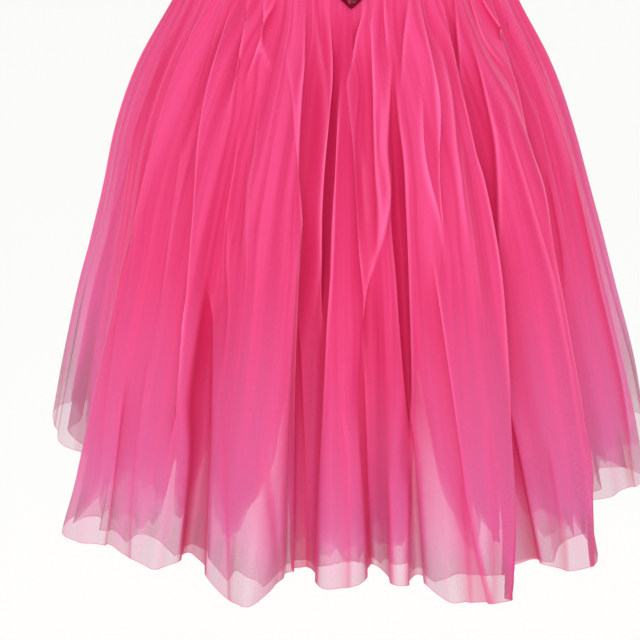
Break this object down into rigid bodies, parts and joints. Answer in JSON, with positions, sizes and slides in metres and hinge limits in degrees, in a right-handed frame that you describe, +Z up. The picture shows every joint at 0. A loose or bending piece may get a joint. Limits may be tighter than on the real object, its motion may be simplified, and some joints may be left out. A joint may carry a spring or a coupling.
{
  "type": "ballet tutu",
  "caption": "Romantic-length ballet tutu: sheer gathered tulle layers over petticoats, hung in deep flutes from a pointed basque waistband.",
  "frame": {"origin": "centre of the waist opening, level with the top edge of the basque band", "axes": "+Z up along the wearer's body, -Y to the front of the garment, where the band ends in a point, +X to the side seam at the right of a viewer who faces the front"},
  "size_m": [0.6698, 0.6847, 0.6065],
  "materials": {
    "basque": "dark wine stretch cloth covered with small sequins",
    "overlay": "sheer hot pink tulle, soft and matte",
    "second_layer": "sheer hot pink tulle, soft and matte",
    "petticoat": "several plies of crimson pink net, matte",
    "inner_petticoat": "several plies of crimson pink net, matte"
  },
  "bodies": {
    "root": {"basque_front": "basque", "basque_back": "basque", "overlay_front": "overlay", "overlay_back": "overlay", "second_layer_front": "second_layer", "second_layer_back": "second_layer", "petticoat_front": "petticoat", "petticoat_back": "petticoat", "inner_petticoat_front": "inner_petticoat", "inner_petticoat_back": "inner_petticoat"}
  },
  "joints": []
}
